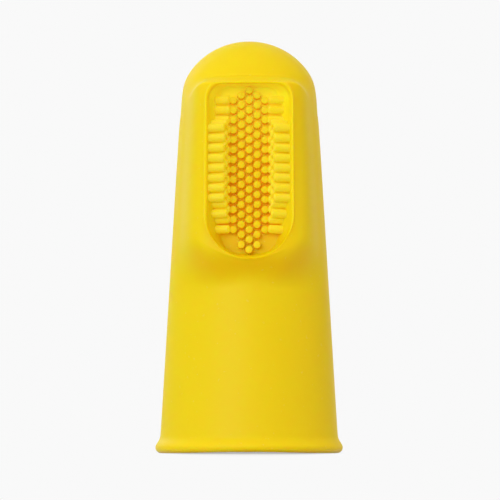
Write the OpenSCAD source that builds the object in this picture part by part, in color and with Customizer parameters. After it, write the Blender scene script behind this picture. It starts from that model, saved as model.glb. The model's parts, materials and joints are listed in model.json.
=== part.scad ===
// Silicone finger toothbrush: a tapered thimble with a domed tip and a beaded rim.
// An oval U-shaped channel in the front holds stubby bristles on its floor and on both side walls.
// Stands on its rim at z = 0 with the finger axis along z. The brush faces -y.

/* [Sleeve] */
// Height from the rim's underside to the top of the dome
overall_h = 55; // [50:0.5:60]
// Outside diameter of the sleeve where it leaves the rim bead
mouth_d = 23.7; // [22:0.1:26]
// Outside diameter of the sleeve where the dome begins
shoulder_d = 18.2; // [17.6:0.1:19.6]
// Height of the dome above the sleeve
dome_h = 6.2; // [4.5:0.1:8]
// Wall thickness of the sleeve
wall_t = 1.5; // [1.2:0.1:2]

/* [Rim bead] */
// How far the bead stands out of the sleeve
bead_out = 0.65; // [0.4:0.05:1.2]
// Height of the bead with its sloping upper side
bead_h = 1.9; // [1.6:0.1:3]
// Radius of the bead's rounded lower edge
bead_r = 0.75; // [0.4:0.05:0.8]

/* [Brush tray] */
// Length of the channel
channel_len = 22.3; // [19.5:0.1:24]
// Width of the channel at its floor
channel_floor_w = 7.7; // [7.5:0.1:8.2]
// Width of the channel at its mouth
channel_mouth_w = 11.2; // [11:0.1:12]
// Depth of the channel below the lip
channel_depth = 3.3; // [3.1:0.1:3.6]
// How much further the channel's mouth reaches than its floor at the lower end
low_end_flare = 0.65; // [0.2:0.05:0.8]
// How far the lip stands out in front of the sleeve's cone
tray_rise = 1.3; // [1:0.1:1.5]
// Thickness of the channel's floor
floor_t = 1.1; // [0.8:0.1:1.5]
// Width of the rounded lip round the channel
lip_w = 0.6; // [0.4:0.05:0.8]
// Height of the overhang between the tray's lower end and the crease under it
crease_drop = 0.9; // [0.6:0.1:1.6]
// Width of the hollow rounding in the crease
crease_round = 1; // [0.7:0.1:1.4]
// How much lower the crease lies at the flanks than in the middle
crease_arch = 2.5; // [1.5:0.1:3.5]

/* [Bristles] */
// Distance between neighbouring bristles along the channel
row_pitch = 1.32; // [1.25:0.01:1.5]
// Distance between neighbouring columns on the floor
column_pitch = 1.04; // [1:0.01:1.08]
// Diameter of a bristle
bristle_d = 1; // [0.8:0.05:1]
// Height of the bristles on the floor
floor_bristle_h = 1; // [0.8:0.05:1.15]
// Length of the bristles on the side walls
bank_bristle_len = 2.25; // [1.9:0.05:2.5]
// Distance between neighbouring rows up a side wall
bank_pitch = 0.93; // [0.9:0.01:1]
// Space between the floor bristles and the lowest side bristles that reach over them
bank_clearance = 0.08; // [0.05:0.01:0.15]

/* [Hidden] */
$fn = 48;
silicone = [0.93, 0.78, 0.12];
bristle_tint = [0.95, 0.83, 0.2];

mouth_r = mouth_d / 2;
shoulder_r = shoulder_d / 2;
dome_z = overall_h - dome_h;
dome_r = (shoulder_r * shoulder_r + dome_h * dome_h) / (2 * dome_h);
dome_centre_z = overall_h - dome_r;
dome_inner_r = norm([shoulder_r - wall_t, dome_z - dome_centre_z]);

// The cone of the sleeve and its lean from the finger axis
taper = (mouth_r - shoulder_r) / (dome_z - bead_h);
lean = atan(taper);
function cone_r(z) = mouth_r - taper * (z - bead_h);
function cavity_r(z) = cone_r(z) - wall_t;

// The tray's own frame: u across, v up the leaning front, w out of the floor
channel_half = channel_len / 2;
floor_half_w = channel_floor_w / 2;
mouth_half_w = channel_mouth_w / 2;
top_lip = 0.3;
tray_z = dome_z - top_lip - channel_half * cos(lean) - tray_rise * sin(lean);
floor_in = channel_depth - tray_rise;
tray_y = -cone_r(tray_z) + floor_in * cos(lean);
tray_origin = [0, tray_y, tray_z - floor_in * sin(lean)];
function tray_point(u, v, w) = tray_origin
    + u * [1, 0, 0]
    + v * [0, sin(lean), cos(lean)]
    + w * [0, -cos(lean), sin(lean)];

// The window that the tray fills in the sleeve, by angle from the front and by height
window_angle = 78;
lip_low_z = tray_point(0, -channel_half - low_end_flare - lip_w, channel_depth)[2];
window_low_z = lip_low_z - crease_drop - crease_arch - 2.5;
window_mid_z = (window_low_z + dome_z) / 2;
window_half_h = (dome_z - window_low_z) / 2;

// Corner radii of the channel's outline: nearly square at the top, a round end at the bottom
floor_top_corner = 1.5;
floor_low_corner = 2.6;
mouth_top_corner = 2.2;
mouth_low_corner = mouth_half_w - 0.1;

// The side walls of the channel lean outwards, and their bristles stand square to them
wall_run = mouth_half_w - floor_half_w;
wall_lean = atan(wall_run / channel_depth);

// Each group of bristles grows from a thin slice of the silicone behind it
slice_t = 0.3;
root_depth = 0.2;
bristle_sides = 6;
bristle_r = bristle_d / 2;
row_margin = 0.05;
row_count = floor((channel_len - bristle_d - 2 * row_margin) / row_pitch) + 1;

// Three rows of bristles up each side wall, the lowest just clear of the outer floor bristles' ends
lip_drop = 0.15;
bank_margin = 0.1;
outer_edge = 2 * column_pitch + bristle_r;
bank_first = bristle_r
    + (floor_bristle_h + bank_clearance) * cos(wall_lean)
    - (floor_half_w - outer_edge) * sin(wall_lean);
bench_w = (bank_first + bank_pitch / 2) * cos(wall_lean);

// Place along the channel of row i, counted from the top; half rows lie between
function row_v(i) = ((row_count - 1) / 2 - i) * row_pitch;

// Points round the edge of a square, from its lower right corner and round by the top
side_steps = 26;
end_steps = 24;
ring_size = 2 * (side_steps + end_steps);
function square_edge() = [
    for (i = [0 : side_steps - 1]) [1, -1 + 2 * i / side_steps],
    for (i = [0 : end_steps - 1]) [1 - 2 * i / end_steps, 1],
    for (i = [0 : side_steps - 1]) [-1, 1 - 2 * i / side_steps],
    for (i = [0 : end_steps - 1]) [-1 + 2 * i / end_steps, -1]
];

// One point of the square's edge carried to a rectangle with rounded corners
function rounded(p, half_w, half_l, top_corner, low_corner) =
    let (corner = p[1] > 0 ? top_corner : low_corner)
    let (x = abs(p[0]) * half_w)
    let (y = abs(p[1]) * half_l)
    let (along_side = (y - half_l + corner) / corner)
    let (along_end = (x - half_w + corner) / corner)
    let (turn = abs(p[0]) == 1 ? 45 * along_side : 90 - 45 * along_end)
    let (in_corner = along_side > 0 && along_end > 0)
    let (rx = in_corner ? half_w - corner + corner * cos(turn) : x)
    let (ry = in_corner ? half_l - corner + corner * sin(turn) : y)
    [sign(p[0]) * rx, sign(p[1]) * ry];

// A ring of the channel at height w over the floor, grown by a margin that is narrower at the top
function channel_ring(half_w, top_corner, low_corner, grow, w) = [
    for (p = square_edge())
        let (half_l = channel_half + grow + (p[1] < 0 ? low_end_flare * w / channel_depth : 0))
        let (q = rounded(p, half_w + grow, half_l, top_corner + grow, low_corner + grow))
        let (top = channel_half + top_lip / 2 * grow / lip_w)
        tray_point(q[0], min(q[1], top), w)
];

// The tray's front is a flat face with slab sides, softly rounded together, as a radius from the axis
slab = 0.976;
corner_power = 7;
edge_soft = 0.3;
belly_power = 1.4;
arch_power = 6;
side_fade = 12;
function block_r(a, z) =
    let (front = (cone_r(z) + tray_rise) / cos(a))
    let (side = slab * cone_r(z) / (slab * sin(abs(a)) + sqrt(1 - slab * slab) * cos(a)))
    pow(pow(front, -corner_power) + pow(side, -corner_power), -1 / corner_power);
function fade(x) = x <= 0 ? 0 : x >= 1 ? 1 : x * x * (3 - 2 * x);
function soft_positive(x, width) = (x + norm([x, width])) / 2;

// The block's rise over the cone dies out under the tray's round end, and at the window's sides and top
end_round = mouth_half_w + lip_w;
function block_share(a, z) =
    let (across = min(abs(cone_r(z) * sin(a)) / (end_round + lip_w), 0.98))
    let (from_z = lip_low_z + end_round * (1 - sqrt(1 - across * across)))
    let (to_z = lip_low_z - crease_drop - crease_arch * pow(sin(a), arch_power))
    let (belly = min(1, soft_positive(z - to_z, crease_round) / (from_z - to_z)))
    let (below = (1 - pow(1 - belly, belly_power)) * fade((z - window_low_z) / 2))
    below * fade((window_angle - abs(a)) / side_fade) * fade((dome_z - z) / (top_lip / 2));
function outer_r(a, z) =
    cone_r(z) + soft_positive(block_r(a, z) - cone_r(z), edge_soft) * block_share(a, z);

// Back of the tray: the sleeve's cavity, flattened behind the channel's floor
function floor_back_r(a, z) =
    let (back = tray_point(0, (z - tray_origin[2]) / cos(lean), -floor_t))
    -back[1] / cos(a);
function inner_r(a, z) = min(cavity_r(z), floor_back_r(a, z));

function at_axis(a, z, r) = [r * sin(a), -r * cos(a), z];
function window_edge(p) = [p[0] * window_angle, window_mid_z + p[1] * window_half_h];

// A ring on the tray's outside, s = 0 beside the lip and s = 1 at the window's edge
function outside_ring(s) =
    let (lip = channel_ring(mouth_half_w, mouth_top_corner, mouth_low_corner, lip_w, channel_depth))
    let (edge = square_edge())
    [
        for (i = [0 : ring_size - 1])
            let (from = [atan2(lip[i][0], -lip[i][1]), lip[i][2]])
            let (at = from + s * (window_edge(edge[i]) - from))
            at_axis(at[0], at[1], outer_r(at[0], at[1]))
    ];

// A ring on the tray's back, s = 1 at the window's edge and smaller towards the middle
function inside_ring(s) = [
    for (p = square_edge())
        let (at = [p[0] * window_angle * s, window_mid_z + p[1] * window_half_h * s])
        at_axis(at[0], at[1], inner_r(at[0], at[1]))
];

// Closed skin through a list of rings, with a flat cap on the first and a point at the last
module ring_skin(rings, last_point) {
    count = len(rings);
    n = len(rings[0]);
    points = concat([for (r = rings) each r], [last_point]);
    cap = [[for (i = [0 : n - 1]) n - 1 - i]];
    sides = [
        for (k = [0 : count - 2])
            for (i = [0 : n - 1])
                let (j = (i + 1) % n)
                each [
                    [k * n + i, k * n + j, (k + 1) * n + j],
                    [k * n + i, (k + 1) * n + j, (k + 1) * n + i]
                ]
    ];
    end = [
        for (i = [0 : n - 1])
            [(count - 1) * n + i, (count - 1) * n + (i + 1) % n, count * n]
    ];
    polyhedron(points = points, faces = concat(cap, sides, end), convexity = 6);
}

// Tapered wall of the thimble, open in front where the tray sits
module finger_sleeve() {
    reach = 2 * mouth_d;
    color(silicone)
    difference() {
        rotate_extrude()
        polygon([
            [cavity_r(bead_h), bead_h],
            [cone_r(bead_h), bead_h],
            [cone_r(dome_z), dome_z],
            [cavity_r(dome_z), dome_z]
        ]);
        translate([0, 0, window_low_z])
        linear_extrude(overall_h)
        polygon([
            [0, 0],
            [-reach * sin(window_angle), -reach * cos(window_angle)],
            [-reach * sin(window_angle), -reach],
            [reach * sin(window_angle), -reach],
            [reach * sin(window_angle), -reach * cos(window_angle)]
        ]);
    }
}

// Closed end of the thimble
module tip_dome() {
    color(silicone)
    rotate_extrude()
    intersection() {
        translate([0, dome_centre_z])
        difference() {
            circle(dome_r);
            circle(dome_inner_r);
        }
        translate([0, dome_z])
        square([2 * shoulder_r, 2 * dome_h]);
    }
}

// Bead round the mouth: a slope above, a rounded edge below and a flat underside to stand on
module rim_bead() {
    edge_r = mouth_r + bead_out;
    edge_steps = 6;
    start = 35;
    color(silicone)
    rotate_extrude()
    polygon(concat(
        [
            [cavity_r(0), 0],
            [cavity_r(bead_h), bead_h],
            [cone_r(bead_h), bead_h]
        ],
        [
            for (i = [0 : edge_steps])
                let (turn = start - (90 + start) * i / edge_steps)
                [edge_r - bead_r + bead_r * cos(turn), bead_r + bead_r * sin(turn)]
        ]
    ));
}

// Squared-off front with the U-shaped channel and its thin rounded lip
module brush_tray() {
    bench_half_w = floor_half_w + wall_run * bench_w / channel_depth;
    rings = concat(
        [
            channel_ring(floor_half_w, floor_top_corner, floor_low_corner, 0, 0),
            channel_ring(bench_half_w, floor_top_corner, floor_low_corner, 0, bench_w),
            channel_ring(mouth_half_w, mouth_top_corner, mouth_low_corner, 0, channel_depth - lip_drop),
            channel_ring(mouth_half_w, mouth_top_corner, mouth_low_corner, lip_w / 3, channel_depth)
        ],
        [for (s = [0, 0.06, 0.13, 0.22, 0.34, 0.5, 0.75, 1]) outside_ring(s)],
        [for (s = [1, 0.75, 0.5, 0.25]) inside_ring(s)]
    );
    color(silicone)
    ring_skin(rings, at_axis(0, window_mid_z, inner_r(0, window_mid_z)));
}

module in_tray() {
    translate(tray_origin)
    rotate([90 - lean, 0, 0])
    children();
}

// One stubby bristle with a flat end, its root sunk into the slice below and inside the slice's width
module bristle(length) {
    translate([0, 0, slice_t - root_depth])
    rotate([0, 0, 180 / bristle_sides])
    cylinder(r = bristle_r, h = length - slice_t + root_depth, $fn = bristle_sides);
}

// Nubs in five columns on the channel's floor, neighbouring columns half a row apart
module floor_bristles() {
    pad_half_w = floor_half_w - 0.4;
    pad_half_l = channel_half - 0.1;
    color(bristle_tint)
    in_tray() {
        linear_extrude(slice_t)
        polygon([
            for (p = square_edge())
                rounded(p, pad_half_w, pad_half_l, floor_top_corner, floor_low_corner)
        ]);
        for (i = [0 : row_count - 1])
            translate([0, row_v(i), 0])
            bristle(floor_bristle_h);
        for (i = [0 : row_count - 2], side = [-1, 1])
            translate([side * column_pitch, row_v(i + 0.5), 0])
            bristle(floor_bristle_h);
        for (i = [1 : row_count - 3], side = [-1, 1])
            translate([side * 2 * column_pitch, row_v(i), 0])
            bristle(floor_bristle_h);
    }
}

// One row of bristles on a side wall: side -1 left or 1 right, level 0 next to the floor
module bank_row(side, level, first, last) {
    end_margin = bristle_r + bank_margin;
    color(bristle_tint)
    in_tray()
    mirror([side < 0 ? 1 : 0, 0, 0])
    translate([floor_half_w, 0, 0])
    rotate([0, wall_lean - 90, 0])
    translate([bank_first + bank_pitch * level, 0, 0]) {
        translate([-bank_pitch / 2, row_v(last) - end_margin, 0])
        cube([bank_pitch, row_v(first) - row_v(last) + 2 * end_margin, slice_t]);
        for (i = [first : last])
            translate([0, row_v(i), 0])
            bristle(bank_bristle_len);
    }
}

module left_lower_bristles() { bank_row(-1, 0, 1, row_count - 3); }
module left_middle_bristles() { bank_row(-1, 1, 3.5, row_count - 4.5); }
module left_upper_bristles() { bank_row(-1, 2, 4, row_count - 6); }
module right_lower_bristles() { bank_row(1, 0, 1, row_count - 3); }
module right_middle_bristles() { bank_row(1, 1, 3.5, row_count - 4.5); }
module right_upper_bristles() { bank_row(1, 2, 4, row_count - 6); }

finger_sleeve();
tip_dome();
rim_bead();
brush_tray();
floor_bristles();
left_lower_bristles();
left_middle_bristles();
left_upper_bristles();
right_lower_bristles();
right_middle_bristles();
right_upper_bristles();
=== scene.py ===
# %% [markdown]
# # A silicone finger toothbrush
# This little brush is one shot of soft yellow silicone: a thimble that slips over a fingertip, with a
# domed end, a beaded rim and, in front, an oval channel full of stubby bristles. The lesson loads the
# part's solids as a fixed frame and then dresses them: one seamless skin for the moulded body, seven
# groups of bristles, three tones of one silicone, and a plain pale studio.

# %% The frame
import json
import math

import bmesh
import bpy
import numpy as np
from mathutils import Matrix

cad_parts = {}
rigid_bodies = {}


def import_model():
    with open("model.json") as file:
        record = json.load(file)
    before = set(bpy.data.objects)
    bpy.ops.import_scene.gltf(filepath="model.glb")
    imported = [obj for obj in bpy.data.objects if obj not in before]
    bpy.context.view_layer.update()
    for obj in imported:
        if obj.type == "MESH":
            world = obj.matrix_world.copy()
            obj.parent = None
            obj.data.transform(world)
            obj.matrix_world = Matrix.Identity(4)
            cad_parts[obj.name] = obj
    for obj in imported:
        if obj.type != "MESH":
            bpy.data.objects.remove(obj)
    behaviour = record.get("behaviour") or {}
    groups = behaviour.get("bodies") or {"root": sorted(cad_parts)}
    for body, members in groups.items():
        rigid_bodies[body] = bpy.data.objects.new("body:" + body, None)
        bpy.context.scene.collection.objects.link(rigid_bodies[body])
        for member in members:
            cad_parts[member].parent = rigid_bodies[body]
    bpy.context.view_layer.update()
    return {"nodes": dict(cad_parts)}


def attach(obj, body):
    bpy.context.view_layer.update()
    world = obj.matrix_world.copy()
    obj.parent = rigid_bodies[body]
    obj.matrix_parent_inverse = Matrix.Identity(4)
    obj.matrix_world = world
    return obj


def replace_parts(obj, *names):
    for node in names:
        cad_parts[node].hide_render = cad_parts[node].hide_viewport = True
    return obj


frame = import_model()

print("solids in the frame:", len(frame["nodes"]))

# %% [markdown]
# ## The thimble's own sizes
# The solids were drawn from a short list of sizes in millimetres. The skin repeats those sizes and their
# formulas, so it follows the solids to within half a millimetre. It departs from them only where soft
# rubber is rounder than a drawing: along the lip, under the channel's low end, at the shoulder and at the
# rim. Everything is worked out in millimetres and turned into metres once, when a mesh is made.

# %% Sizes in millimetres
MM = 0.001
overall_h, dome_h = 55.0, 6.2
mouth_r, shoulder_r = 11.85, 9.1
wall_t = 1.5
bead_out, bead_h, bead_r = 0.65, 1.9, 0.75

dome_z = overall_h - dome_h
dome_r = (shoulder_r**2 + dome_h**2) / (2 * dome_h)
dome_centre_z = overall_h - dome_r
dome_inner_r = math.hypot(shoulder_r - wall_t, dome_z - dome_centre_z)
taper = (mouth_r - shoulder_r) / (dome_z - bead_h)
lean = math.atan(taper)
print("the front leans", round(math.degrees(lean), 2), "degrees; the dome's radius is", round(dome_r, 2))

# %% [markdown]
# ## Soft edges by formula
# Moulded rubber has no sharp edges. A bevel on the finished mesh would round them all alike. Here two curves
# are blended where they meet instead: the smaller (or larger) of the two, with a rounding of a chosen
# width. It keeps the mesh a plain grid and puts each rounding where it belongs.

# %% Blends
def soft_min(a, b, width):
    """The smaller of a and b, rounded: half of their sum less the root of (a - b)^2 + width^2."""
    return (a + b - np.sqrt((a - b) ** 2 + width**2)) / 2


def soft_max(a, b, width):
    """The larger of a and b, rounded in the same way, with the root added."""
    return (a + b + np.sqrt((a - b) ** 2 + width**2)) / 2


def fade(x):
    """0 below 0, 1 above 1, and the smooth step 3x^2 - 2x^3 between."""
    x = np.clip(x, 0.0, 1.0)
    return x * x * (3 - 2 * x)


print("a blend 0.6 mm wide takes", round(1 - float(soft_min(1.0, 1.0, 0.6)), 2), "mm off its corner")

# %% [markdown]
# ## Profile of the thimble
# Outside, the thimble is a slim cone, closed by part of a ball and widened at its mouth by a bead. It could
# be spun from a drawn outline, but as a radius for each height it stays a formula that later steps can
# use: the cone, the ball where that is narrower, and the bead's slope where that is wider. The shoulder
# under the dome gets a wide blend, because on the real one it is only a soft change of light.

# %% Radius by height
bead_edge_r = mouth_r + bead_out
bead_start = math.radians(35)
bead_top_r = bead_edge_r - bead_r + bead_r * math.cos(bead_start)
bead_top_z = bead_r + bead_r * math.sin(bead_start)
bead_slope = (bead_top_r - mouth_r) / (bead_h - bead_top_z)
shoulder_ease, shoulder_blend, bead_blend = 0.12, 0.6, 0.2


def cone_r(z):
    """Radius of the sleeve's cone: the mouth's radius less the taper for each millimetre of height."""
    return mouth_r - taper * (z - bead_h)


def ball_r(z, radius):
    """Radius of a ball's level circle above its middle; below the middle it only widens, out of the way."""
    up = z - dome_centre_z
    return np.where(up > 0, np.sqrt(np.maximum(radius**2 - up**2, 0)), radius - up)


def plain_r(z):
    """Outside radius without the block: cone cut by the ball, then the bead's slope added below."""
    shaft = soft_min(cone_r(z), ball_r(z, dome_r + shoulder_ease), shoulder_blend)
    return soft_max(shaft, bead_top_r - bead_slope * (z - bead_top_z), bead_blend)


print("radius at the mouth, middle and shoulder:", np.round(plain_r(np.array([2.0, 25.0, 48.8])), 2))

# %% [markdown]
# ## The channel's board
# The brush sits in a squared-off block on the front. Its channel could be drawn in the part's own
# directions, but the front leans, so it is drawn on a flat board that leans with the cone: u runs across,
# v up the front and w out of the channel's floor. One function carries points from the board to the part.

# %% Channel sizes and frame
channel_half, channel_depth = 11.15, 3.3
floor_half_w, mouth_half_w = 3.85, 5.6
low_end_flare = 0.65
tray_rise = 1.3
floor_t = 1.1
lip_w, lip_drop = 0.6, 0.15
low_lip_w, top_lip = 0.2, 0.3
crease_drop, low_rise = 3.9, 0.5
floor_in = channel_depth - tray_rise
tray_z = dome_z - top_lip - channel_half * math.cos(lean) - tray_rise * math.sin(lean)
tray_origin = np.array([
    0.0,
    -cone_r(tray_z) + floor_in * math.cos(lean),
    tray_z - floor_in * math.sin(lean),
])
across_axis = np.array([1.0, 0.0, 0.0])
along_axis = np.array([0.0, math.sin(lean), math.cos(lean)])
out_axis = np.array([0.0, -math.cos(lean), math.sin(lean)])


def tray_point(u, v, w):
    """The board's origin plus u, v and w steps along its three axes, for whole arrays."""
    u, v, w = np.broadcast_arrays(u, v, w)
    return tray_origin + u[..., None] * across_axis + v[..., None] * along_axis + w[..., None] * out_axis


lip_low_z = tray_point(0.0, -channel_half - low_end_flare - low_lip_w, channel_depth)[2]
print("the channel's lip ends at a height of", round(float(lip_low_z), 2), "mm")

# %% [markdown]
# ## The block round the channel
# Seen from above, the block is a flat front with two slab sides; a sum of high powers rounds them into
# each other. A boolean union with the cone would leave a hard seam. So the block is a rise over the cone,
# times a share from 0 to 1 that dies out at the flanks, over a small rounded step under the dome, and in
# a hollow curve under the channel's round end.

# %% The block and how much of it shows
slab, corner_power = 0.976, 7
steepest = 88.0
end_round = mouth_half_w + low_lip_w
end_widest, end_blend, end_gap = 0.9, 0.12, 0.02
front_power, flank_power, flank_from = 2.4, 2.0, 0.5


def block_r(a, z):
    """Radius in direction a: flat front and slab side, joined as (front^-7 + side^-7)^(-1/7)."""
    a = np.radians(np.clip(np.abs(a), 0, steepest))
    front = (cone_r(z) + tray_rise + low_rise * fade((tray_z - z) / channel_half)) / np.cos(a)
    side = slab * cone_r(z) / (slab * np.sin(a) + math.sqrt(1 - slab**2) * np.cos(a))
    return (front**-corner_power + side**-corner_power) ** (-1 / corner_power)


def belly_share(a, z):
    """What is left at d, the share of the way down from lip to cone: (1 - d)^2.4 in front of the part,
    and (1 - d)^2 (1 + 2d) at its flanks."""
    aside = np.abs(np.sin(np.radians(a)))
    flank = fade(aside / flank_from)
    across = soft_min(cone_r(z) * aside / end_round, end_widest, end_blend)
    from_z = lip_low_z - end_gap + end_round * (1 - np.sqrt(1 - across**2))
    down = np.clip((from_z - z) / (from_z - lip_low_z + crease_drop), 0, 1)
    power = front_power + (flank_power - front_power) * flank
    return (1 - down) ** power * (1 + 2 * flank * down)


print("left of the block 2 mm under the lip:", round(float(belly_share(0.0, lip_low_z - 2)), 2))

# %% Outside radius with the block
window_angle, window_fade = 78.0, 12.0
block_top_z, top_step, flank_step = 49.7, 1.2, 2.0
step_angle = 30.0
rise_blend = 0.3


def block_share(a, z):
    """The belly's share, faded out at the flanks and, more gently there than in front, under the dome."""
    top_round = top_step + flank_step * fade((np.abs(a) - step_angle) / step_angle)
    sides = fade((window_angle - np.abs(a)) / window_fade)
    return belly_share(a, z) * sides * fade((block_top_z - z) / top_round)


def outer_r(a, z):
    """The plain radius plus the block's rise over it, never less than nothing, times its share."""
    rise = soft_max(block_r(a, z) - plain_r(z), 0.0, rise_blend)
    return plain_r(z) + rise * block_share(a, z)


def round_axis(a, z, r):
    """A point at angle a from the front (degrees), height z and radius r: (r sin a, -r cos a, z)."""
    a, z, r = np.broadcast_arrays(np.radians(a), z, r)
    return np.stack([r * np.sin(a), -r * np.cos(a), z], axis=-1)


front_r = round(float(outer_r(0.0, 40.0)), 2)
print("at a height of 40 mm the front stands at", front_r, "mm, the cone at", round(cone_r(40.0), 2))

# %% [markdown]
# ## Rings round the channel
# A regular grid can't follow an oval lip, so the front is woven from rings instead, as the growth rings
# of a tree follow its bark: from the middle of the floor, up the wall, over the lip, and out to a
# rectangle that the rest of the grid can be sewn to. Every ring has the same number of points, which
# start as the edge of a square and are bent into the ring's own outline.

# %% One ring of the channel
SIDE_STEPS, END_STEPS = 104, 84
top_corner, top_corner_gain = 1.5, 0.7
low_corner, low_corner_gain = 2.6, 2.9
end_from, end_fade = 0.5, 0.45
climb = np.linspace(-1, 1, SIDE_STEPS + 1)[:-1]
cross = np.linspace(1, -1, END_STEPS + 1)[:-1]
square_edge = np.concatenate([
    np.stack([np.ones(SIDE_STEPS), climb], axis=1),
    np.stack([cross, np.ones(END_STEPS)], axis=1),
    np.stack([-np.ones(SIDE_STEPS), -climb], axis=1),
    np.stack([-cross, -np.ones(END_STEPS)], axis=1),
])


def end_share(y):
    """0 along the sides, and 1 at the end where y, the place on the square's edge, comes to 1."""
    return fade((y - end_from) / end_fade)


low_end = end_share(-square_edge[:, 1])
top_end = end_share(square_edge[:, 1])


def rounded(p, half_w, half_l, corner):
    """Points of a square's edge on a rectangle, those near a corner turned onto its quarter circle."""
    x, y = np.abs(p[:, 0]) * half_w, np.abs(p[:, 1]) * half_l
    along_side = (y - half_l + corner) / corner
    along_end = (x - half_w + corner) / corner
    turn = np.radians(np.where(np.abs(p[:, 0]) == 1, 45 * along_side, 90 - 45 * along_end))
    bend = (along_side > 0) & (along_end > 0)
    x = np.where(bend, half_w - corner + corner * np.cos(turn), x)
    y = np.where(bend, half_l - corner + corner * np.sin(turn), y)
    return np.sign(p[:, 0]) * x, np.sign(p[:, 1]) * y


def channel_ring(share, grow, w):
    """Outline of the channel, share 0 at its floor and 1 at its mouth, grown by a margin, at height w."""
    upper = square_edge[:, 1] > 0
    grow = grow * (1 - (1 - low_lip_w / lip_w) * low_end * (grow > 0))
    corner = np.where(upper, top_corner + top_corner_gain * share, low_corner + low_corner_gain * share)
    half_w = floor_half_w + (mouth_half_w - floor_half_w) * share + grow
    half_l = channel_half + grow + np.where(upper, 0, low_end_flare * w / channel_depth)
    u, v = rounded(square_edge, half_w, half_l, corner + grow)
    rise = low_rise * fade(-square_edge[:, 1]) * w / channel_depth
    return tray_point(u, np.minimum(v, channel_half + grow / lip_w * top_lip / 2), w + rise)


print("points in each ring:", len(square_edge))

# %% [markdown]
# ## The front's patch
# Outside the lip, the rings slide in angle and height towards the patch's rectangle, closer together near
# the lip where the shape changes fastest. Inside, a curve with two or three control rings gives the soft
# corner at the foot of the wall and the rounded crown of the lip. A bevel would do the same for a straight
# edge, but this lip changes all the way round: at its low end it is drawn in to almost nothing.

# %% Rings outside the lip
PATCH_ANGLE = 84.0
PATCH_LOW_Z, PATCH_TOP_Z = 17.5, 50.3
SLIDE_RINGS, slide_power = 61, 1.7
brow_h, BROW_RINGS = 0.1, 12

lip_outer = channel_ring(1.0, lip_w, channel_depth)
lip_angle = np.degrees(np.arctan2(lip_outer[:, 0], -lip_outer[:, 1]))
edge_angle = square_edge[:, 0] * PATCH_ANGLE
edge_z = (PATCH_LOW_Z + PATCH_TOP_Z) / 2 + square_edge[:, 1] * (PATCH_TOP_Z - PATCH_LOW_Z) / 2
slide = np.linspace(0, 1, SLIDE_RINGS)[:, None] ** slide_power
slide_angle = lip_angle + slide * (edge_angle - lip_angle)
slide_z = lip_outer[:, 2] + slide * (edge_z - lip_outer[:, 2])
lip_brow = brow_h * np.maximum(1 - slide / slide[BROW_RINGS], 0) ** 2 * (1 - low_end)
outside_rings = round_axis(slide_angle, slide_z, outer_r(slide_angle, slide_z) + lip_brow)
print("rings outside the lip:", len(outside_rings))

# %% Rings from the floor's middle to the lip
FLOOR_RINGS, FOOT_RINGS, WALL_RINGS, LIP_RINGS = 8, 6, 12, 12
wall_top = channel_depth - lip_drop
foot, crown_from = 0.3, 0.82
# each control ring of the crown: how far it is grown, and how far it stands over the lip's level
crown_controls = [(-0.15, 0.08), (0.35, 0.22)]
low_crown_pull = 0.85


def curve_rings(controls, count):
    """Smooth curve led by control rings: each weighs the binomial number times s^k (1 - s)^(n - k)."""
    s = np.linspace(0, 1, count + 1)[:-1, None, None]
    n = len(controls) - 1
    return sum(math.comb(n, k) * s**k * (1 - s) ** (n - k) * c for k, c in enumerate(controls))


floor_edge = channel_ring(0.0, -foot, 0.0)
floor_middle = floor_edge.mean(axis=0, keepdims=True)
outwards = np.linspace(0, 1, FLOOR_RINGS + 1)[:-1, None, None]
floor_rings = floor_middle + outwards * (floor_edge - floor_middle)
wall_foot = channel_ring(foot / wall_top, 0.0, foot)
foot_rings = curve_rings([floor_edge, channel_ring(0.0, 0.0, 0.0), wall_foot], FOOT_RINGS)
climbing = np.linspace(foot / wall_top, crown_from, WALL_RINGS + 1)[:-1]
wall_rings = np.stack([channel_ring(s, 0.0, s * wall_top) for s in climbing])
crown = [channel_ring(1.0, grow, channel_depth + over) for grow, over in crown_controls]
crown = [ring + low_crown_pull * low_end[:, None] * (outside_rings[0] - ring) for ring in crown]
wall_end = channel_ring(crown_from, 0.0, crown_from * wall_top)
lip_rings = curve_rings([wall_end, *crown, outside_rings[0]], LIP_RINGS)
patch = np.concatenate([floor_rings, foot_rings, wall_rings, lip_rings, outside_rings])
print("rings in the front's patch:", len(patch))

# %% [markdown]
# ## Painted light and shade in the channel
# Thin silicone passes light on, and the photograph shows where: the channel is brightest under the dome, a
# dark gold between the bristles further down, and a duller gold at its low end. Few light paths find such
# ways through the rubber, so three numbers at each point paint it instead: the first is painted light from
# above and behind, which also sets a painted glow, the second painted shade between the bristles and in the
# hollow under the block, and the third painted shade at the channel's low end. The finish reads them from
# the mesh, so they stay in place from every side.

# %% Painted light and painted shade inside the channel
dome_light_z, dome_light_fade = 34.0, 14.0
scoop_z, scoop_fade, scoop_loss = 30.0, 3.5, 0.4
far_lit, wall_lit, top_lit = 0.3, 0.4, 0.85
floor_shade, wall_shade_end = 0.75, -4.0


def dome_light(z):
    """How much of the light that comes in through the thin dome is left at height z: a smooth step."""
    return fade((z - dome_light_z) / dome_light_fade)


inner = FLOOR_RINGS + FOOT_RINGS
lip_start, outside_start = inner + WALL_RINGS, inner + WALL_RINGS + LIP_RINGS
ring_lit = np.zeros((len(patch), 1))
ring_lit[:inner, 0] = 1
ring_lit[inner:lip_start, 0] = np.linspace(1, wall_lit, WALL_RINGS)
ring_lit[lip_start:outside_start, 0] = np.linspace(wall_lit, 0, LIP_RINGS)
ring_shade = np.zeros((len(patch), 1))
ring_shade[:inner, 0] = 1
ring_shade[inner:lip_start, 0] = np.linspace(1, wall_shade_end, WALL_RINGS).clip(0)

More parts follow.
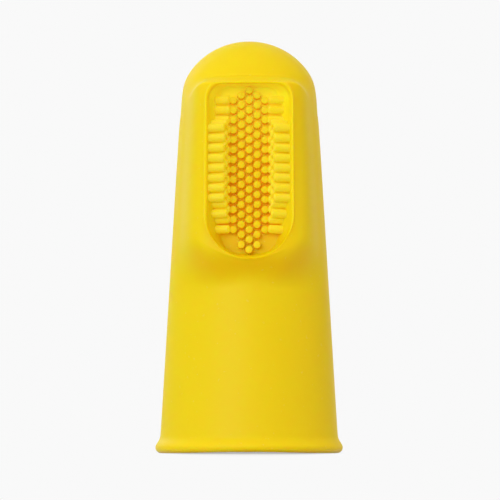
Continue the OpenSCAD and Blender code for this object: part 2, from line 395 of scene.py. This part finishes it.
patch_dome_light = dome_light(patch[..., 2])
low_scoop = fade((scoop_z - patch[..., 2]) / scoop_fade)
# painted light, less of it towards the channel's low end, which is painted shade there
patch_lit = ring_lit * (far_lit * (1 - scoop_loss * low_scoop) + (1 - far_lit) * patch_dome_light)
top_wall = slice(FLOOR_RINGS, lip_start)
# painted light on the channel's top wall
patch_lit[top_wall] = np.maximum(patch_lit[top_wall], top_lit * top_end)
# painted shade on the channel's floor and the foot of its walls, fading out towards both ends
patch_shade = ring_shade * floor_shade * (1 - low_scoop) * (1 - patch_dome_light)
print("lit and deep, at most:", round(patch_lit.max(), 2), round(patch_shade.max(), 2))

# %% Painted shade under the block, and at the channel's low end
hollow_shade, hollow_angle, hollow_fade = 1.9, 28.0, 25.0
DIM_RINGS = 14

belly = belly_share(slide_angle, slide_z)
in_front = 1 - fade((np.abs(slide_angle) - hollow_angle) / hollow_fade)
# painted shade in the hollow under the block, in front
patch_shade[outside_start:] = hollow_shade * belly * (1 - belly) * in_front
# dim: painted shade at the channel's low end, on its lip and just outside it
patch_dim = np.copy(low_scoop)
patch_dim[lip_start:outside_start] = low_end
patch_dim[outside_start:] = low_end * np.maximum(1 - slide / slide[DIM_RINGS], 0) ** 2
print("points that are more than half dim:", np.count_nonzero(patch_dim > 0.5))

# %% [markdown]
# ## The rest of the skin
# The back, the dome and the skirt are plain grids of angle and height that share their edge points with
# the patch. The skirt runs on round the bead, under the rim and up the inside of the finger hole, which
# is flattened behind the channel's floor. A solidify modifier would give a wall of one thickness, but
# this wall isn't: it is thin behind the channel and thick at the bead.

# %% Back and dome
BACK_STEPS, CAP_ROWS = 100, 26
front_columns = np.linspace(-PATCH_ANGLE, PATCH_ANGLE, END_STEPS + 1)
back_columns = np.linspace(PATCH_ANGLE, 360 - PATCH_ANGLE, BACK_STEPS + 1)
all_columns = np.concatenate([front_columns, back_columns[1:-1]])
patch_rows = np.linspace(PATCH_LOW_Z, PATCH_TOP_Z, SIDE_STEPS + 1)
back = round_axis(back_columns, patch_rows[:, None], plain_r(patch_rows)[:, None])


def dome_rows(low_z, radius, count):
    """Heights from low_z to the ball's top in equal steps of its polar angle."""
    polar = np.linspace(math.acos((low_z - dome_centre_z) / radius), 0, count)
    return dome_centre_z + radius * np.cos(polar)


cap_z = dome_rows(PATCH_TOP_Z, dome_r, CAP_ROWS)
cap_r = np.append(plain_r(cap_z[:-1]), 0.0)
dome = round_axis(all_columns, cap_z[:, None], cap_r[:, None])
print("grids: back", back.shape[:2], "dome", dome.shape[:2])

# %% Finger hole
flat_low_z, flat_low_fade = 19.5, 6.0
flat_top_z, flat_top_fade = 51.5, 3.0
hole_blend, flat_blend = 0.12, 0.3
least_cosine = 0.05
HOLE_ROWS, HOLE_CAP_ROWS = 90, 22
hole_low_z, hole_high_z, hole_cap_z = 0.5, 47.5, 48.0


def floor_back_r(a, z):
    """Radius of the flat behind the channel's floor: its depth from the axis over the cosine of a."""
    back_y = tray_point(0.0, (z - tray_origin[2]) / math.cos(lean), -floor_t)[..., 1]
    return -back_y / np.maximum(np.cos(np.radians(a)), least_cosine)


def hole_r(a, z):
    """Finger hole: the cone less the wall, closed by the inner ball, less the flat behind the floor."""
    plain = soft_min(cone_r(z) - wall_t, ball_r(z, dome_inner_r), hole_blend)
    flat = soft_max(plain - floor_back_r(a, z), 0.0, flat_blend)
    return plain - flat * fade((z - flat_low_z) / flat_low_fade) * fade((flat_top_z - z) / flat_top_fade)


hole_z = np.concatenate([
    np.linspace(hole_low_z, hole_high_z, HOLE_ROWS),
    dome_rows(hole_cap_z, dome_inner_r, HOLE_CAP_ROWS),
])
hole = hole_r(all_columns[None, :], hole_z[:, None])
hole[-1] = 0.0
print("the hole's radius behind the channel is", round(float(hole_r(0.0, 38.0)), 2), "mm")

# %% [markdown]
# ## The skirt and the rim
# The skirt's profile is a row of radii and heights: down the cone, round the bead, across the underside and
# over the hole's edge. In the photograph the rim's front edge lifts a hair off the table, as soft rubber
# does, so the lowest rows are lifted in front by a quarter of a millimetre.

# %% Skirt
hole_edge = 0.3
hole_mouth_r = cone_r(0.0) - wall_t
lift_h, lift_spread, lift_below = 0.25, 42.0, 5.0
CONE_ROWS, FLARE_ROWS, BEAD_ROWS, UNDER_ROWS, EDGE_ROWS = 40, 22, 18, 4, 7
cone_end_z, flare_z, over_bead = 4.2, 4.0, 0.06

bead_turn = np.linspace(bead_start, -math.pi / 2, BEAD_ROWS)
edge_turn = np.linspace(-math.pi / 2, -math.pi, EDGE_ROWS)
skirt_z = np.concatenate([
    np.linspace(PATCH_LOW_Z, cone_end_z, CONE_ROWS),
    np.linspace(flare_z, bead_top_z + over_bead, FLARE_ROWS),
])
under_r = np.linspace(bead_edge_r - bead_r, hole_mouth_r + hole_edge, UNDER_ROWS + 2)[1:-1]
rim_r = np.concatenate([
    plain_r(skirt_z),
    bead_edge_r - bead_r + bead_r * np.cos(bead_turn),
    under_r,
    hole_mouth_r + hole_edge + hole_edge * np.cos(edge_turn),
])
rim_z = np.concatenate([
    skirt_z,
    bead_r + bead_r * np.sin(bead_turn),
    np.zeros(len(under_r)),
    hole_edge + hole_edge * np.sin(edge_turn),
])
skirt_radii = np.concatenate([np.repeat(rim_r[:, None], len(all_columns), axis=1), hole])
skirt_heights = np.repeat(np.append(rim_z, hole_z)[:, None], len(all_columns), axis=1)
from_front = all_columns - 360 * (all_columns > 180)
front_lift = lift_h * np.exp(-((from_front / lift_spread) ** 2))
skirt_heights = skirt_heights + front_lift * np.clip(1 - skirt_heights / lift_below, 0, 1) ** 2
skirt = round_axis(all_columns, skirt_heights, skirt_radii)
print("grid: skirt and hole", skirt.shape[:2])

# %% [markdown]
# ## Sewing the skin together
# Each grid becomes four-sided faces; a grid that goes all the way round also joins its last column to its
# first. Points that two grids share are then merged, which closes the poles and the seams, and the faces
# are turned outwards. A closed skin matters here: light that enters silicone has to find a way out again.

# %% Mesh helpers
def grid_faces(rows, columns, closed, start):
    """Faces of a grid numbered row by row: (i, j), (i, j+1), (i+1, j+1), (i+1, j), j wrapping if closed."""
    i, j = np.meshgrid(np.arange(rows - 1), np.arange(columns if closed else columns - 1), indexing="ij")
    low, high = i * columns, (i + 1) * columns
    k = (j + 1) % columns
    return start + np.stack([low + j, low + k, high + k, high + j], axis=-1).reshape(-1, 4)


def new_mesh(name, points, faces):
    """A smooth mesh from points in millimetres."""
    mesh = bpy.data.meshes.new(name)
    mesh.from_pydata((points * MM).tolist(), [], faces)
    mesh.polygons.foreach_set("use_smooth", np.ones(len(mesh.polygons), dtype=bool))
    return mesh


def new_piece(name, points, faces, **shares):
    """A piece at the origin on the one body, with named numbers stored at its points."""
    mesh = new_mesh(name, points, faces)
    for share_name, values in shares.items():
        stored = mesh.attributes.new(share_name, "FLOAT", "POINT")
        stored.data.foreach_set("value", values.astype(np.float32))
    piece = bpy.data.objects.new(name, mesh)
    bpy.context.scene.collection.objects.link(piece)
    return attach(piece, "root")


print("faces of a closed grid of 3 by 4 points:", len(grid_faces(3, 4, True, 0)))

# %% The moulded body
SEAM = 0.0005
grids = [(patch, True), (back, False), (dome, True), (skirt, True)]
starts = np.cumsum([0] + [grid.shape[0] * grid.shape[1] for grid, _ in grids])
body_points = np.concatenate([grid.reshape(-1, 3) for grid, _ in grids])
body_faces = np.concatenate([
    grid_faces(*grid.shape[:2], closed, start) for (grid, closed), start in zip(grids, starts)
])
elsewhere = np.zeros(len(body_points) - patch_lit.size)
shares = {"lit": patch_lit, "painted_shade": patch_shade, "dim": patch_dim}
shares = {name: np.append(share, elsewhere) for name, share in shares.items()}
body = new_piece("moulded_body", body_points, body_faces.tolist(), **shares)

sewing = bmesh.new()
sewing.from_mesh(body.data)
bmesh.ops.remove_doubles(sewing, verts=sewing.verts, dist=SEAM * MM)
bmesh.ops.recalc_face_normals(sewing, faces=sewing.faces)
open_edges = sum(not e.is_manifold for e in sewing.edges)
sewing.to_mesh(body.data)
volume = sewing.calc_volume(signed=True)
sewing.free()
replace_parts(body, "finger_sleeve", "tip_dome", "rim_bead", "brush_tray")
print("body:", len(body.data.polygons), "faces,", open_edges, "open edges,", round(volume / MM**3), "mm3")

# %% [markdown]
# ## The bristles
# The bristles are soft pegs, a millimetre thick, with blunt ends and slightly rounded edges. Seventy-seven
# stand on the channel's floor in five columns, every other column half a row lower, and three rows reach
# in from each side wall. One peg could be copied with an array modifier. Here a peg is one profile turned
# round its axis and all the pegs of a group are worked out in one array, so a seeded hair of difference
# in lean and length can keep them from looking stamped.

# %% One peg's profile, faces and light
PEG_SIDES = 12
root_sunk, tip_bulge = 0.35, 0.006
# for each ring of a profile: its height over the root or, where from_tip is 1, over the tip
peg_height = np.array([-root_sunk, 0.0, 0.16, -0.3, -0.12, -0.035, 0.0])
from_tip = np.array([0, 0, 0, 1, 1, 1, 1])
# two profiles, as shares of the peg's radius
blunt = np.array([1.06, 1.05, 1.0, 0.98, 0.97, 0.94, 0.85])
rounded_off = np.array([1.2, 1.16, 1.14, 1.12, 1.02, 0.84, 0.5])
open_low_z, open_low_fade = 29.5, 3.0
shut_in = 0.7


def peg_faces(count, ring_count):
    """Faces of count pegs: a closed grid round each, and a fan to the two points that come after it."""
    ring_total = ring_count * PEG_SIDES
    first = np.arange(count)[:, None, None] * (ring_total + 2)
    quads = first + grid_faces(ring_count, PEG_SIDES, True, 0)[None]
    i = np.arange(PEG_SIDES)
    j = (i + 1) % PEG_SIDES
    last = ring_total - PEG_SIDES
    low_fan = np.stack([np.full(PEG_SIDES, ring_total), j, i], axis=1)
    top_fan = np.stack([last + i, last + j, np.full(PEG_SIDES, ring_total + 1)], axis=1)
    fans = first + np.concatenate([low_fan, top_fan])[None]
    return quads.reshape(-1, 4).tolist() + fans.reshape(-1, 3).tolist()


def peg_lit(reach, z, root_lit):
    """Painted light on a peg: from root_lit by the cube of reach to 1 at the tip, less far from the open
    ends (painted shade).
    """
    open_end = np.maximum(dome_light(z), fade((open_low_z - z) / open_low_fade))
    shelter = shut_in + (1 - shut_in) * np.maximum(root_lit, open_end)
    return (root_lit + (1 - root_lit) * reach**3) * shelter


print("faces of one peg:", len(peg_faces(1, len(blunt))))

# %% One group of pegs
peg_r = 0.5
stray_lean, stray_length = 0.011, 0.022
chance = np.random.default_rng(20)


def pegs(name, base, axis, length, peg_share, root_lit):
    """Rings at base + height axis + radius (cos t side + sin t other), closed by a point at both ends."""
    count = len(base)
    axis = np.broadcast_to(axis, base.shape) + chance.normal(0, stray_lean, base.shape)
    axis = axis / np.linalg.norm(axis, axis=1, keepdims=True)
    length = length + chance.normal(0, stray_length, count)
    side = np.cross(along_axis, axis)
    side = side / np.linalg.norm(side, axis=1, keepdims=True)
    other = np.cross(axis, side)
    t = np.linspace(0, 2 * math.pi, PEG_SIDES, endpoint=False)
    circle = np.cos(t)[:, None] * side[:, None, :] + np.sin(t)[:, None] * other[:, None, :]
    height = peg_height + from_tip * length[:, None]
    rings = (
        base[:, None, None, :]
        + height[:, :, None, None] * axis[:, None, None, :]
        + peg_r * peg_share[None, :, None, None] * circle[:, None, :, :]
    )
    ends = np.stack([base - root_sunk * axis, base + (length[:, None] + tip_bulge) * axis], axis=1)
    points = np.concatenate([rings.reshape(count, -1, 3), ends], axis=1)
    reach = np.repeat(np.clip(height / length[:, None], 0, 1), PEG_SIDES, axis=1)
    reach = np.concatenate([reach, np.zeros((count, 1)), np.ones((count, 1))], axis=1)
    lit = peg_lit(reach, points[..., 2], root_lit)
    faces = peg_faces(count, len(peg_share))
    piece = new_piece(name, points.reshape(-1, 3), faces, lit=lit.ravel())
    print(name, count, "pegs,", len(piece.data.polygons), "faces")
    return piece


# %% Floor bristles
ROW_COUNT, ROW_PITCH, COLUMN_PITCH = 17, 1.32, 1.04
# the floor pegs' painted light starts at nothing at the root, which is painted shade there
floor_peg_h, floor_root_lit = 1.0, 0.0


def row_v(i):
    """Place of row i along the channel, counted from the top; half rows lie between."""
    return ((ROW_COUNT - 1) / 2 - i) * ROW_PITCH


# each column: its place across, its first row, and how many pegs it has
columns = [(0, 0, 17), (-1, 0.5, 16), (1, 0.5, 16), (-2, 1, 14), (2, 1, 14)]
floor_u = np.concatenate([np.full(n, c * COLUMN_PITCH) for c, _, n in columns])
floor_v = np.concatenate([row_v(first + np.arange(n)) for _, first, n in columns])
floor_base = tray_point(floor_u, floor_v, 0.0)
floor_pegs = pegs("floor_pegs", floor_base, out_axis, floor_peg_h, blunt, floor_root_lit)
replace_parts(floor_pegs, "floor_bristles")

# %% [markdown]
# ## The side banks
# The channel's side walls lean outwards, and three rows of bristles on each reach in over the floor with a
# small tilt forward. They could stand square to the wall, as they do in the solids, but then more of their
# round ends would face the viewer than in the photograph. The lowest row reaches just over the outer floor
# bristles. The rows are shorter from end to end further up, because the channel's round end takes its
# corners away.

# %% Bank bristles
wall_run = mouth_half_w - floor_half_w
wall_lean = math.atan(wall_run / channel_depth)
over_floor = 0.08
outer_edge = 2 * COLUMN_PITCH + peg_r
bank_first = (
    peg_r
    + (floor_peg_h + over_floor) * math.cos(wall_lean)
    - (floor_half_w - outer_edge) * math.sin(wall_lean)
)
bank_pitch = 0.93
bank_tilt = math.radians(14)
# painted light at the side banks' roots
bank_root_lit = 0.85
# each level: name, first row, count, and how far the ends stay from the channel's middle line
banks = [("lower", 1, 14, 2.55), ("middle", 3.5, 10, 2.85), ("upper", 4, 8, 3.2)]
bank_pegs = []
for side_name, side in (("left", -1), ("right", 1)):
    axis = -side * math.cos(bank_tilt) * across_axis + math.sin(bank_tilt) * out_axis
    for level, (level_name, first, n, end_u) in enumerate(banks):
        up_wall = bank_first + bank_pitch * level
        root_u = floor_half_w + up_wall * math.sin(wall_lean)
        base = tray_point(side * root_u, row_v(first + np.arange(n)), up_wall * math.cos(wall_lean))
        length = (root_u - end_u) / math.cos(bank_tilt)
        piece = pegs(f"{side_name}_{level_name}_pegs", base, axis, length, rounded_off, bank_root_lit)
        bank_pegs.append(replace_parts(piece, f"{side_name}_{level_name}_bristles"))

# %% [markdown]
# ## Writing shaders as sums
# A finish is easier to read as a formula than as a web of nodes. The class below wraps one socket, so
# that `satin + 0.1 * clouds` adds the Math nodes it needs. Any other node comes from one method that takes
# the node's type, its settings, and the values or links of its sockets.

# %% A socket that does sums
class Shade:
    """One output socket of a node tree. The operators add a Math node and return its result."""

    def __init__(self, tree, socket=None):
        self.tree, self.socket = tree, socket

    def node(self, kind, settings=None, inputs=None, output=0):
        """Add a node, apply its settings, then set each input to a value or link it to a socket."""
        made = self.tree.nodes.new(kind)
        for key, value in (settings or {}).items():
            setattr(made, key, value)
        for key, value in (inputs or {}).items():
            if isinstance(value, Shade):
                self.tree.links.new(value.socket, made.inputs[key])
            else:
                made.inputs[key].default_value = value
        return Shade(self.tree, made.outputs[output] if len(made.outputs) else None)

    def maths(self, operation, first, second):
        """One Math node on two values or sockets."""
        return self.node("ShaderNodeMath", {"operation": operation}, {0: first, 1: second})

    def __add__(self, other):
        return self.maths("ADD", self, other)

    def __radd__(self, other):
        return self.maths("ADD", other, self)

    def __mul__(self, other):
        return self.maths("MULTIPLY", self, other)

    def __rmul__(self, other):
        return self.maths("MULTIPLY", other, self)

    def noise(self, place, size, detail=2.0, roughness=0.5):
        """Clouds of about the given size in millimetres, 0 to 1."""
        inputs = {"Vector": place, "Scale": 1 / (size * MM), "Detail": detail, "Roughness": roughness}
        return self.node("ShaderNodeTexNoise", {"noise_dimensions": "3D"}, inputs)

    def smooth_range(self, value, low, high, start=0.0):
        """A smooth step from start, where value is low, to 1, where it is high."""
        inputs = {"Value": value, "From Min": low, "From Max": high, "To Min": start}
        return self.node("ShaderNodeMapRange", {"interpolation_type": "SMOOTHSTEP"}, inputs)

    def stored(self, name):
        """A number that is stored at the mesh's points."""
        return self.node("ShaderNodeAttribute", {"attribute_name": name}, output=2)

    def mix(self, factor, first, second):
        """Colour first where factor is 0, second where it is 1."""
        settings = {"data_type": "RGBA", "blend_type": "MIX", "clamp_factor": True}
        return self.node("ShaderNodeMix", settings, {0: factor, 6: first, 7: second}, output=2)


sums = [name.strip("_") for name in vars(Shade) if name.endswith(("add__", "mul__"))]
print("sums that a socket can do:", ", ".join(sums))

# %% Colours and empty finishes
OBJECT_COORDINATES = 3


def paint(red, green, blue):
    """A colour as it shows on a screen, 0 to 255, turned into the linear numbers that shaders use."""
    c = np.array([red, green, blue]) / 255
    linear = np.where(c <= 0.04045, c / 12.92, ((c + 0.055) / 1.055) ** 2.4)
    return (*linear.tolist(), 1.0)


def light(red, green, blue):
    """Light that a surface gives off, in linear numbers."""
    return (red, green, blue, 1.0)


def new_finish(name):
    """An empty material and the Shade that adds nodes to it."""
    material = bpy.data.materials.new(name)
    material.use_nodes = True
    material.node_tree.nodes.clear()
    return material, Shade(material.node_tree)


print("half grey on a screen is", round(paint(128, 128, 128)[0], 3), "in linear numbers")

# %% [markdown]
# ## Yellow silicone
# Silicone is satin and a little see-through: light goes in by up to a millimetre, loses its blue at once and
# some of its green, and comes out warmer. Subsurface scattering does this for the body. For the channel it
# would take far more light paths than a picture has, so there the stored numbers paint it: they choose
# between the plain yellow, a bright one that is painted light, a dark gold and a dim gold that are painted
# shade, and add a little painted glow, as if light had come through. On top come faint clouds in the
# pigment, the fine bloom of a blasted mould, and specks of dust.

# %% Silicone
shade_gold, dim_gold = paint(246, 190, 1), paint(232, 201, 1)
dust_tone, dust_cover = paint(246, 226, 120), 0.22
dust_from, dust_full = 0.7, 0.78
# gap_light is a painted glow between the floor bristles
no_light, gap_light = light(0.0, 0.0, 0.0), light(0.22, 0.13, 0.0)
cloud_size, bloom_size, wave_size, dust_size = 7.0, 0.16, 1.1, 0.55
bloom_h, bloom_strength, wave_share = 0.03, 0.12, 0.6
satin, satin_clouds = 0.44, 0.12
rubber_ior = 1.41
reach_by_colour = (1.0, 0.5, 0.06)


def silicone(name, plain, cloudy, bright, through, depth, sheen):
    """Yellow that light enters by depth (mm), with painted light, shade and glow from the stored numbers,
    pigment clouds, mould bloom in the bump, uneven satin.
    """
    material, shade = new_finish(name)
    place = shade.node("ShaderNodeTexCoord", output=OBJECT_COORDINATES)
    clouds = shade.noise(place, cloud_size, detail=3.0, roughness=0.55)
    bloom = shade.noise(place, bloom_size, roughness=0.6) + wave_share * shade.noise(place, wave_size)
    dust = shade.smooth_range(shade.noise(place, dust_size, detail=1.0), dust_from, dust_full)
    lit, painted_shade, dim = shade.stored("lit"), shade.stored("painted_shade"), shade.stored("dim")
    # painted light: the bright colour where the stored light is high
    colour = shade.mix(lit, shade.mix(clouds, plain, cloudy), bright)
    # painted shade: a dark gold between the bristles and in the hollow under the block
    colour = shade.mix(painted_shade, colour, shade_gold)
    # painted shade: a dim gold at the channel's low end
    colour = shade.mix(dim, colour, dim_gold)
    colour = shade.mix(dust_cover * dust, colour, dust_tone)
    # painted glow: light given off where the stored light is high, and a warmer one between the bristles
    painted_glow = shade.mix(lit * lit, no_light, through)
    painted_glow = shade.mix(lit * painted_shade, painted_glow, gap_light)
    bump_inputs = {"Strength": bloom_strength, "Distance": bloom_h * MM, "Height": bloom}
    surface = shade.node("ShaderNodeBsdfPrincipled", {"subsurface_method": "RANDOM_WALK"}, {
        "Base Color": colour,
        "Roughness": satin + satin_clouds * clouds,
        "IOR": rubber_ior,
        "Specular IOR Level": sheen,
        "Subsurface Weight": 1.0,
        "Subsurface Radius": reach_by_colour,
        "Subsurface Scale": depth * MM,
        "Normal": shade.node("ShaderNodeBump", {}, bump_inputs),
        "Emission Color": painted_glow,
        "Emission Strength": 1.0,
    })
    shade.node("ShaderNodeOutputMaterial", {}, {"Surface": surface})
    return material


body_finish = silicone(
    "body_silicone",
    plain=paint(240, 211, 15),
    cloudy=paint(242, 214, 18),
    # bright is the painted light colour and through the painted glow
    bright=paint(249, 234, 30),
    through=light(0.12, 0.12, 0.01),
    depth=0.8,
    sheen=0.17,
)
body.data.materials.append(body_finish)
print("finish on", body.name, "with", len(body_finish.node_tree.nodes), "nodes")

# %% [markdown]
# ## Bristle silicone
# The bristles are the same rubber, but so thin that light shines right through them. In the photograph their
# ends are pale yellow and their roots a dark orange. One finish with scattering would blur that, so the
# pegs scatter almost nothing and each point carries how much light reaches it up its peg. That number sets a
# painted light and shade in the colour and a painted glow. The side banks get more painted light at the root
# than the floor's pegs, and pegs far from the channel's open ends get painted shade.

# %% Bristle finishes
# on the bristles, bright is the painted light at their tips and through their painted glow
peg_depth, peg_sheen = 0.05, 0.1
nub_finish = silicone(
    "nub_silicone",
    plain=paint(251, 200, 1),
    cloudy=paint(251, 204, 2),
    bright=paint(226, 205, 12),
    through=light(0.17, 0.14, 0.01),
    depth=peg_depth,
    sheen=peg_sheen,
)
bank_finish = silicone(
    "bank_silicone",
    plain=paint(250, 209, 2),
    cloudy=paint(250, 213, 3),
    bright=paint(226, 210, 54),
    through=light(0.21, 0.15, 0.0),
    depth=peg_depth,
    sheen=peg_sheen,
)
floor_pegs.data.materials.append(nub_finish)
for piece in bank_pegs:
    piece.data.materials.append(bank_finish)
print("finishes on", 1 + len(bank_pegs), "groups of bristles")

# %% [markdown]
# ## The studio
# The photograph was taken on a white sweep: the floor runs up into the backdrop without a corner. The sweep
# is a profile carried sideways. More light would whiten it but also bleach the rubber, so for the camera,
# and in reflections, it shines by itself. Only a small oval under the brush is partly matt there, and takes
# the contact shadow under the rim. To all other light it is a plain grey card.

# %% Sweep
sweep_half_x, sweep_front_y, sweep_bend_y = 1600.0, -1500.0, 500.0
sweep_bend_r, sweep_top_z = 300.0, 1500.0
floor_gap = 0.02
BEND_ROWS, SWEEP_COLUMNS = 16, 9
turn = np.linspace(0, math.pi / 2, BEND_ROWS)
sweep_x = np.linspace(-sweep_half_x, sweep_half_x, SWEEP_COLUMNS)
bend_y = sweep_bend_y + sweep_bend_r * np.sin(turn)
bend_z = sweep_bend_r - sweep_bend_r * np.cos(turn)
sweep_y = np.concatenate([[sweep_front_y], bend_y, [sweep_bend_y + sweep_bend_r]])
sweep_z = np.concatenate([[0.0], bend_z, [sweep_top_z]]) - floor_gap
sweep_points = np.stack(np.broadcast_arrays(sweep_x[None], sweep_y[:, None], sweep_z[:, None]), axis=-1)
sweep_faces = grid_faces(len(sweep_y), len(sweep_x), False, 0)
sweep_mesh = new_mesh("sweep", sweep_points.reshape(-1, 3), sweep_faces.tolist())
sweep = bpy.data.objects.new("sweep", sweep_mesh)
bpy.context.scene.collection.objects.link(sweep)
print("sweep:", len(sweep_mesh.polygons), "faces")

# %% Sweep's finish
CAMERA_RAY, GLOSSY_RAY, TRANSMISSION_RAY = 0, 3, 6
oval_half_x, oval_half_y = 13, 36
oval_inner, least_glow = 0.55, 0.5
near_card, far_card = (0.6, 0.6, 0.6, 1), (0.58, 0.58, 0.58, 1)
shadow_card = (0.83, 0.89, 1.0, 1)
backdrop_white = 0.947

white, shade = new_finish("white_sweep")
place = shade.node("ShaderNodeTexCoord", output=OBJECT_COORDINATES)
oval_scale = (1 / oval_half_x, 1 / oval_half_y, 0)
oval = shade.node("ShaderNodeVectorMath", {"operation": "MULTIPLY"}, {0: place, 1: oval_scale})
away = shade.node("ShaderNodeVectorMath", {"operation": "LENGTH"}, {0: oval}, output=1)
far = shade.smooth_range(away, oval_inner * MM, MM, least_glow)
seen = shade.node("ShaderNodeLightPath", output=CAMERA_RAY)
mirrored = shade.node("ShaderNodeLightPath", output=GLOSSY_RAY)
passed = shade.node("ShaderNodeLightPath", output=TRANSMISSION_RAY)
card = shade.mix(seen, shade.mix(far, near_card, far_card), shadow_card)
matt = shade.node("ShaderNodeBsdfDiffuse", {}, {"Color": card})
glow = shade.node("ShaderNodeEmission", {}, {"Color": (1, 1, 1, 1), "Strength": backdrop_white})
both = shade.node("ShaderNodeMixShader", {}, {0: far * seen + mirrored + passed, 1: matt, 2: glow})
shade.node("ShaderNodeOutputMaterial", {}, {"Surface": both})
sweep_mesh.materials.append(white)
print("the sweep's finish has", len(white.node_tree.nodes), "nodes")

# %% [markdown]
# ## Light
# The photograph's left flank is cool and its right flank a warm gold. So one large cool box stands in front
# to the left, a weak gold card far to the right, and a weak box behind to the left that lightens the edge.
# A warm room fills in the rest. The lamps are kept at a plain level, so that a colour renders about as it
# is written.

# %% Soft boxes
def soft_box(name, place, target, size, power, tint):
    """A square area lamp at place (millimetres), turned to face target, of a size, watts and a tint."""
    lamp = bpy.data.lights.new(name, "AREA")
    lamp.shape = "SQUARE"
    lamp.size = size * MM
    lamp.energy = power
    lamp.color = tint
    holder = bpy.data.objects.new(name, lamp)
    holder.location = np.array(place) * MM
    aim = np.array(target) - np.array(place)
    flat = math.hypot(aim[0], aim[1])
    holder.rotation_euler = (math.atan2(flat, -aim[2]), 0.0, math.atan2(-aim[0], aim[1]))
    holder.visible_camera = False
    bpy.context.scene.collection.objects.link(holder)
    print(name, "of", power, "watts,", round(float(np.linalg.norm(aim))), "mm away")


middle = (0, 0, 27)
soft_box("key_box", (-359, -770, 255), middle, size=500, power=2.8, tint=(0.88, 1.1, 1.5))
soft_box("gold_card", (800, -300, 120), middle, size=500, power=0.38, tint=(1.0, 0.35, 0.0))
soft_box("back_box", (-400, 480, 300), middle, size=400, power=0.65, tint=(1.0, 0.92, 0.95))

# %% Room
room_tint, room_strength = (1, 0.9, 0.77, 1), 0.86
LIGHT_BOUNCES = 16
room = bpy.data.worlds.new("room")
room.use_nodes = True
room.node_tree.nodes.clear()
shade = Shade(room.node_tree)
air = shade.node("ShaderNodeBackground", {}, {"Color": room_tint, "Strength": room_strength})
shade.node("ShaderNodeOutputWorld", {}, {"Surface": air})
bpy.context.scene.world = room
bpy.context.scene.view_settings.view_transform = "Standard"
bpy.context.scene.cycles.max_bounces = LIGHT_BOUNCES
bpy.context.scene.cycles.diffuse_bounces = LIGHT_BOUNCES
print("a room of strength", room_strength, "and light that bounces up to", LIGHT_BOUNCES, "times")

# %% [markdown]
# ## Camera
# The photograph looks at the brush almost level, from about eight times its height away. The lens is set
# from the height of the frame at the brush, and the camera tips up just enough to centre it.

# %% Camera
camera_y, camera_z = -420.0, 4.5
frame_h, frame_x, frame_z = 66.95, 0.12, 27.13
sensor = 36.0
lens = bpy.data.cameras.new("camera")
lens.sensor_width = lens.sensor_height = sensor
tip_up = math.atan2(frame_z - camera_z, -camera_y)
lens.lens = sensor * (-camera_y / math.cos(tip_up)) / frame_h
lens.clip_start, lens.clip_end = 0.01, 10.0
camera = bpy.data.objects.new("camera", lens)
camera.location = (frame_x * MM, camera_y * MM, camera_z * MM)
camera.rotation_euler = (math.pi / 2 + tip_up, 0.0, 0.0)
bpy.context.scene.collection.objects.link(camera)
bpy.context.scene.camera = camera
print("lens", round(lens.lens, 1), "mm, tipped up", round(math.degrees(tip_up), 2), "degrees")

# %% [markdown]
